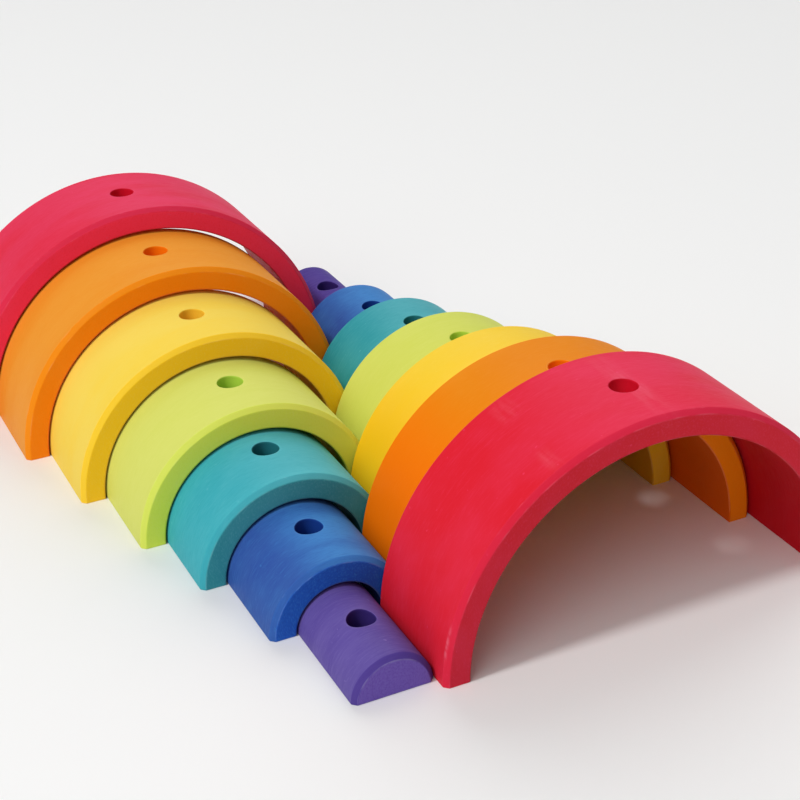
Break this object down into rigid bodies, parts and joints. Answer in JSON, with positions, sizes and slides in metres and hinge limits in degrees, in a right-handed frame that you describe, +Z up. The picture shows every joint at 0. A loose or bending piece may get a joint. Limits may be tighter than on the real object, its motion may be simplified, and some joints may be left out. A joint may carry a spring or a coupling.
{
  "type": "rainbow arch stacking toy",
  "caption": "Two rows of stained wooden half-round arches in graded sizes that nest inside one another, each bored through its crown for stacking on a rod.",
  "frame": {"origin": "on the floor, under the middle of the whole set's box", "axes": "+Y along the rows, away from the largest arch of the right row; +X from the left row to the right row; +Z up"},
  "size_m": [0.2664, 0.325, 0.085],
  "materials": {
    "red_stain": "translucent stain, matt to satin",
    "orange_stain": "translucent stain, matt to satin",
    "yellow_stain": "translucent stain, matt to satin",
    "lime_stain": "translucent stain, matt to satin",
    "teal_stain": "translucent stain, matt to satin",
    "blue_stain": "translucent stain, matt to satin",
    "purple_stain": "translucent stain, matt to satin"
  },
  "bodies": {
    "left_red": {"left_red_arch": "red_stain"},
    "left_orange": {"left_orange_arch": "orange_stain"},
    "left_yellow": {"left_yellow_arch": "yellow_stain"},
    "left_lime": {"left_lime_arch": "lime_stain"},
    "left_teal": {"left_teal_arch": "teal_stain"},
    "left_blue": {"left_blue_arch": "blue_stain"},
    "left_purple": {"left_purple_block": "purple_stain"},
    "right_red": {"right_red_arch": "red_stain"},
    "right_orange": {"right_orange_arch": "orange_stain"},
    "right_yellow": {"right_yellow_arch": "yellow_stain"},
    "right_lime": {"right_lime_arch": "lime_stain"},
    "right_teal": {"right_teal_arch": "teal_stain"},
    "right_blue": {"right_blue_arch": "blue_stain"},
    "right_purple": {"right_purple_block": "purple_stain"}
  },
  "joints": [
    {"name": "left_orange_slide", "type": "slide", "parent": "left_red", "child": "left_orange", "axis": [0, 1, 0], "range_m": [0, 0.0465]},
    {"name": "left_yellow_slide", "type": "slide", "parent": "left_orange", "child": "left_yellow", "axis": [0, 1, 0], "range_m": [0, 0.046]},
    {"name": "left_lime_slide", "type": "slide", "parent": "left_yellow", "child": "left_lime", "axis": [0, 1, 0], "range_m": [0, 0.0445]},
    {"name": "left_teal_slide", "type": "slide", "parent": "left_lime", "child": "left_teal", "axis": [0, 1, 0], "range_m": [0, 0.038]},
    {"name": "left_blue_slide", "type": "slide", "parent": "left_teal", "child": "left_blue", "axis": [0, 1, 0], "range_m": [0, 0.0425]},
    {"name": "left_purple_slide", "type": "slide", "parent": "left_blue", "child": "left_purple", "axis": [0, 1, 0], "range_m": [-0.06, 0.0466]},
    {"name": "right_row_apart", "type": "slide", "parent": "left_red", "child": "right_red", "axis": [1, 0, 0], "range_m": [0, 0.06]},
    {"name": "right_orange_slide", "type": "slide", "parent": "right_red", "child": "right_orange", "axis": [0, -1, 0], "range_m": [0, 0.0425]},
    {"name": "right_yellow_slide", "type": "slide", "parent": "right_orange", "child": "right_yellow", "axis": [0, -1, 0], "range_m": [0, 0.038]},
    {"name": "right_lime_slide", "type": "slide", "parent": "right_yellow", "child": "right_lime", "axis": [0, -1, 0], "range_m": [0, 0.0445]},
    {"name": "right_teal_slide", "type": "slide", "parent": "right_lime", "child": "right_teal", "axis": [0, -1, 0], "range_m": [0, 0.046]},
    {"name": "right_blue_slide", "type": "slide", "parent": "right_teal", "child": "right_blue", "axis": [0, -1, 0], "range_m": [0, 0.0465]},
    {"name": "right_purple_slide", "type": "slide", "parent": "right_blue", "child": "right_purple", "axis": [0, -1, 0], "range_m": [-0.06, 0.0555]}
  ]
}
